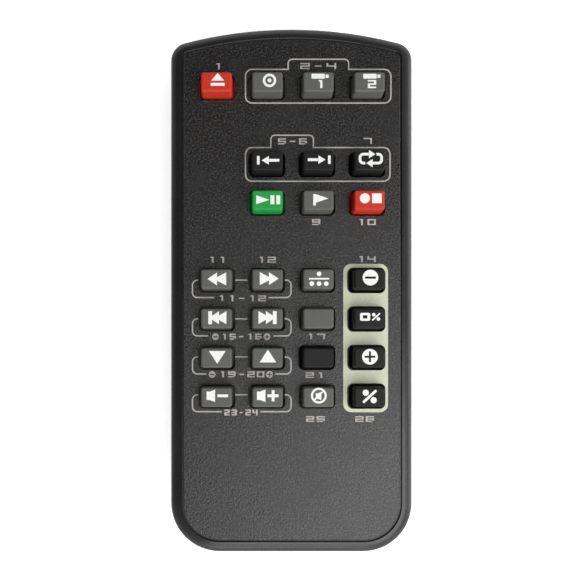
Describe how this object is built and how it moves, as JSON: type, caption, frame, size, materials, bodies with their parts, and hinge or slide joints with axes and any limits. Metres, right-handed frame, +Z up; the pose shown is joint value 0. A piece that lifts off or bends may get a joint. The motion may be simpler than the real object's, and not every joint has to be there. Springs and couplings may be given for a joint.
{
  "type": "infrared remote control",
  "caption": "Hand-held infrared remote control: flat case with a bowed end, rubber keys in a grid and a sliding battery door.",
  "frame": {"origin": "bottom centre of the bounding box: middle of the back face the remote lies on", "axes": "+X across to the right as the keys are read, +Y along the length to the infrared end, +Z up out of the keys"},
  "size_m": [0.0556, 0.1204, 0.0251],
  "materials": {
    "case": "smooth satin",
    "panel": "grained",
    "window": "polished",
    "led": "clear",
    "mat": "matt",
    "board": "coated",
    "chip": "matt",
    "resonator": "glazed",
    "capacitor": "bright",
    "cell": "satin",
    "contact": "bright",
    "spring": "bright",
    "case_screw": "blackened",
    "board_screw": "bright",
    "key_red": "matt",
    "key_green": "matt",
    "key_grey": "matt",
    "key_black": "matt"
  },
  "bodies": {
    "remote": {"top_cover": "case", "face_panel": "panel", "rear_case": "case", "ir_window": "window", "ir_led": "led", "keypad_mat": "mat", "circuit_board": "board", "controller_chip": "chip", "resonator": "resonator", "smoothing_capacitor": "capacitor", "driver_transistor": "chip", "resistors": "chip", "battery_left": "cell", "battery_right": "cell", "link_contact": "contact", "link_spring": "spring", "positive_contact": "contact", "negative_contact": "contact", "negative_spring": "spring", "case_screws": "case_screw", "board_screws": "board_screw"},
    "door": {"battery_door": "case"},
    "body_eject": {"key_eject": "key_red"},
    "body_source_disc": {"key_source_disc": "key_grey"},
    "body_source_usb_1": {"key_source_usb_1": "key_grey"},
    "body_source_usb_2": {"key_source_usb_2": "key_grey"},
    "body_cue_in": {"key_cue_in": "key_black"},
    "body_cue_out": {"key_cue_out": "key_black"},
    "body_reloop": {"key_reloop": "key_black"},
    "body_play_pause": {"key_play_pause": "key_green"},
    "body_marker": {"key_marker": "key_grey"},
    "body_record_stop": {"key_record_stop": "key_red"},
    "body_rewind": {"key_rewind": "key_grey"},
    "body_fast_forward": {"key_fast_forward": "key_grey"},
    "body_single_continue": {"key_single_continue": "key_grey"},
    "body_pitch_minus": {"key_pitch_minus": "key_black"},
    "body_track_back": {"key_track_back": "key_grey"},
    "body_track_next": {"key_track_next": "key_grey"},
    "body_repeat": {"key_repeat": "key_grey"},
    "body_pitch_zero": {"key_pitch_zero": "key_black"},
    "body_folder_down": {"key_folder_down": "key_grey"},
    "body_folder_up": {"key_folder_up": "key_grey"},
    "body_lock": {"key_lock": "key_black"},
    "body_pitch_plus": {"key_pitch_plus": "key_black"},
    "body_volume_down": {"key_volume_down": "key_grey"},
    "body_volume_up": {"key_volume_up": "key_grey"},
    "body_mute": {"key_mute": "key_grey"},
    "body_pitch_range": {"key_pitch_range": "key_black"}
  },
  "joints": [
    {"name": "door_slide", "type": "slide", "parent": "remote", "child": "door", "axis": [0, -1, 0], "range_m": [0, 0.05]},
    {"name": "press_eject", "type": "slide", "parent": "remote", "child": "body_eject", "axis": [0, 0, -1], "range_m": [0, 0.00115], "stiffness_N_per_m": 1000},
    {"name": "press_source_disc", "type": "slide", "parent": "remote", "child": "body_source_disc", "axis": [0, 0, -1], "range_m": [0, 0.00115], "stiffness_N_per_m": 1000},
    {"name": "press_source_usb_1", "type": "slide", "parent": "remote", "child": "body_source_usb_1", "axis": [0, 0, -1], "range_m": [0, 0.00115], "stiffness_N_per_m": 1000},
    {"name": "press_source_usb_2", "type": "slide", "parent": "remote", "child": "body_source_usb_2", "axis": [0, 0, -1], "range_m": [0, 0.00115], "stiffness_N_per_m": 1000},
    {"name": "press_cue_in", "type": "slide", "parent": "remote", "child": "body_cue_in", "axis": [0, 0, -1], "range_m": [0, 0.00115], "stiffness_N_per_m": 1000},
    {"name": "press_cue_out", "type": "slide", "parent": "remote", "child": "body_cue_out", "axis": [0, 0, -1], "range_m": [0, 0.00115], "stiffness_N_per_m": 1000},
    {"name": "press_reloop", "type": "slide", "parent": "remote", "child": "body_reloop", "axis": [0, 0, -1], "range_m": [0, 0.00115], "stiffness_N_per_m": 1000},
    {"name": "press_play_pause", "type": "slide", "parent": "remote", "child": "body_play_pause", "axis": [0, 0, -1], "range_m": [0, 0.00115], "stiffness_N_per_m": 1000},
    {"name": "press_marker", "type": "slide", "parent": "remote", "child": "body_marker", "axis": [0, 0, -1], "range_m": [0, 0.00115], "stiffness_N_per_m": 1000},
    {"name": "press_record_stop", "type": "slide", "parent": "remote", "child": "body_record_stop", "axis": [0, 0, -1], "range_m": [0, 0.00115], "stiffness_N_per_m": 1000},
    {"name": "press_rewind", "type": "slide", "parent": "remote", "child": "body_rewind", "axis": [0, 0, -1], "range_m": [0, 0.00115], "stiffness_N_per_m": 1000},
    {"name": "press_fast_forward", "type": "slide", "parent": "remote", "child": "body_fast_forward", "axis": [0, 0, -1], "range_m": [0, 0.00115], "stiffness_N_per_m": 1000},
    {"name": "press_single_continue", "type": "slide", "parent": "remote", "child": "body_single_continue", "axis": [0, 0, -1], "range_m": [0, 0.00115], "stiffness_N_per_m": 1000},
    {"name": "press_pitch_minus", "type": "slide", "parent": "remote", "child": "body_pitch_minus", "axis": [0, 0, -1], "range_m": [0, 0.00115], "stiffness_N_per_m": 1000},
    {"name": "press_track_back", "type": "slide", "parent": "remote", "child": "body_track_back", "axis": [0, 0, -1], "range_m": [0, 0.00115], "stiffness_N_per_m": 1000},
    {"name": "press_track_next", "type": "slide", "parent": "remote", "child": "body_track_next", "axis": [0, 0, -1], "range_m": [0, 0.00115], "stiffness_N_per_m": 1000},
    {"name": "press_repeat", "type": "slide", "parent": "remote", "child": "body_repeat", "axis": [0, 0, -1], "range_m": [0, 0.00115], "stiffness_N_per_m": 1000},
    {"name": "press_pitch_zero", "type": "slide", "parent": "remote", "child": "body_pitch_zero", "axis": [0, 0, -1], "range_m": [0, 0.00115], "stiffness_N_per_m": 1000},
    {"name": "press_folder_down", "type": "slide", "parent": "remote", "child": "body_folder_down", "axis": [0, 0, -1], "range_m": [0, 0.00115], "stiffness_N_per_m": 1000},
    {"name": "press_folder_up", "type": "slide", "parent": "remote", "child": "body_folder_up", "axis": [0, 0, -1], "range_m": [0, 0.00115], "stiffness_N_per_m": 1000},
    {"name": "press_lock", "type": "slide", "parent": "remote", "child": "body_lock", "axis": [0, 0, -1], "range_m": [0, 0.00115], "stiffness_N_per_m": 1000},
    {"name": "press_pitch_plus", "type": "slide", "parent": "remote", "child": "body_pitch_plus", "axis": [0, 0, -1], "range_m": [0, 0.00115], "stiffness_N_per_m": 1000},
    {"name": "press_volume_down", "type": "slide", "parent": "remote", "child": "body_volume_down", "axis": [0, 0, -1], "range_m": [0, 0.00115], "stiffness_N_per_m": 1000},
    {"name": "press_volume_up", "type": "slide", "parent": "remote", "child": "body_volume_up", "axis": [0, 0, -1], "range_m": [0, 0.00115], "stiffness_N_per_m": 1000},
    {"name": "press_mute", "type": "slide", "parent": "remote", "child": "body_mute", "axis": [0, 0, -1], "range_m": [0, 0.00115], "stiffness_N_per_m": 1000},
    {"name": "press_pitch_range", "type": "slide", "parent": "remote", "child": "body_pitch_range", "axis": [0, 0, -1], "range_m": [0, 0.00115], "stiffness_N_per_m": 1000}
  ]
}
